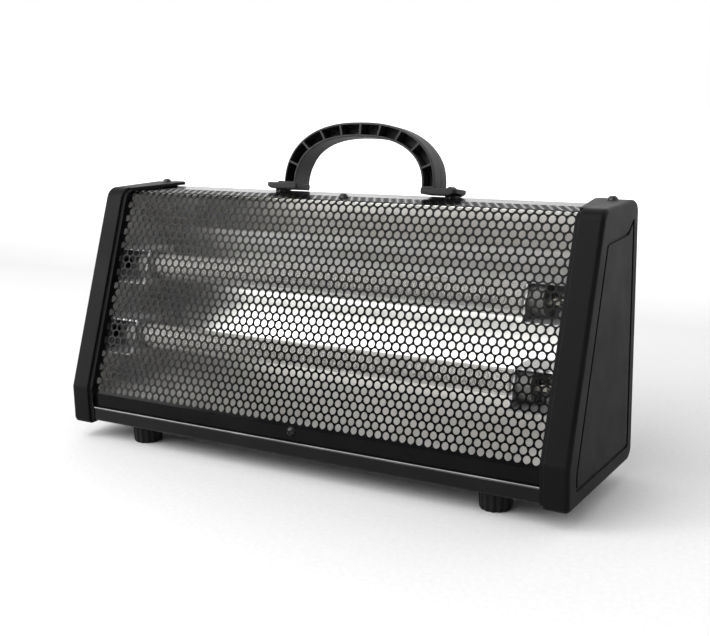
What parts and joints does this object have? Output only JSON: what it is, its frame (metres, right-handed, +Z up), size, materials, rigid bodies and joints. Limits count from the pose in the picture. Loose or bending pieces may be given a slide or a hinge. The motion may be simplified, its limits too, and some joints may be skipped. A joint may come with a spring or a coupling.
{
  "type": "quartz radiant heater",
  "caption": "Portable quartz radiant heater: leaning perforated guard, glowing-tube elements before a creased reflector, moulded end caps, arched carry handle.",
  "frame": {"origin": "on the floor plane, under the middle of the body's bounding box", "axes": "+X to the object's right along its width (seen from the front), the guard faces -Y, +Z up"},
  "size_m": [0.394, 0.116, 0.2317],
  "materials": {
    "sheet_black": "satin black enamel",
    "guard_black": "satin black enamel",
    "cap_plastic": "fine-textured moulded black",
    "bulkhead_steel": "galvanised",
    "reflector_metal": "polished",
    "quartz": "milky translucent",
    "coil_wire": "oxidised resistance wire",
    "ceramic": "dark glazed",
    "bracket_steel": "dark spring steel",
    "terminal_metal": "plated",
    "handle_plastic": "moulded black",
    "screw_black": "blackened steel",
    "screw_steel": "zinc plated",
    "foot_rubber": "matte black",
    "switch_black": "gloss black",
    "rocker_red": "gloss red",
    "tip_switch_black": "moulded black",
    "plunger_white": "natural nylon",
    "spring_steel": "bright",
    "cutout_metal": "satin",
    "block_ceramic": "glazed white",
    "wire_sleeve": "silicone sleeve",
    "gland_black": "black nylon"
  },
  "bodies": {
    "heater": {"rear_housing": "sheet_black", "base_tray": "sheet_black", "front_guard": "guard_black", "left_end_cap": "cap_plastic", "right_end_cap": "cap_plastic", "left_bulkhead": "bulkhead_steel", "right_bulkhead": "bulkhead_steel", "reflector": "reflector_metal", "upper_quartz_tube": "quartz", "lower_quartz_tube": "quartz", "upper_heating_coil": "coil_wire", "lower_heating_coil": "coil_wire", "upper_tube_ceramics": "ceramic", "lower_tube_ceramics": "ceramic", "left_tube_bracket": "bracket_steel", "right_tube_bracket": "bracket_steel", "terminal_studs": "terminal_metal", "carry_handle": "handle_plastic", "handle_screws": "screw_black", "end_cap_screws": "screw_black", "guard_screws": "screw_black", "rear_screws": "screw_black", "front_left_foot": "foot_rubber", "front_right_foot": "foot_rubber", "rear_left_foot": "foot_rubber", "rear_right_foot": "foot_rubber", "foot_screws": "screw_steel", "upper_switch_body": "switch_black", "lower_switch_body": "switch_black", "tip_switch_body": "tip_switch_black", "tip_switch_spring": "spring_steel", "thermal_cutout": "cutout_metal", "terminal_block": "block_ceramic", "internal_wiring": "wire_sleeve", "cable_gland": "gland_black"},
    "upper_rocker": {"upper_rocker": "rocker_red"},
    "lower_rocker": {"lower_rocker": "rocker_red"},
    "tip_plunger": {"tip_switch_plunger": "plunger_white"}
  },
  "joints": [
    {"name": "upper_rocker_tilt", "type": "hinge", "parent": "heater", "child": "upper_rocker", "pos_m": [-0.1908, 0.01, 0.042], "axis": [0, 1, 0], "range_deg": [0, 18]},
    {"name": "lower_rocker_tilt", "type": "hinge", "parent": "heater", "child": "lower_rocker", "pos_m": [-0.1908, 0.031, 0.042], "axis": [0, 1, 0], "range_deg": [0, 18]},
    {"name": "tip_plunger_slide", "type": "slide", "parent": "heater", "child": "tip_plunger", "axis": [0, 0, -1], "range_m": [0, 0.006], "stiffness_N_per_m": 60, "springref_m": 0.012, "deforming": ["tip_switch_spring"]}
  ]
}
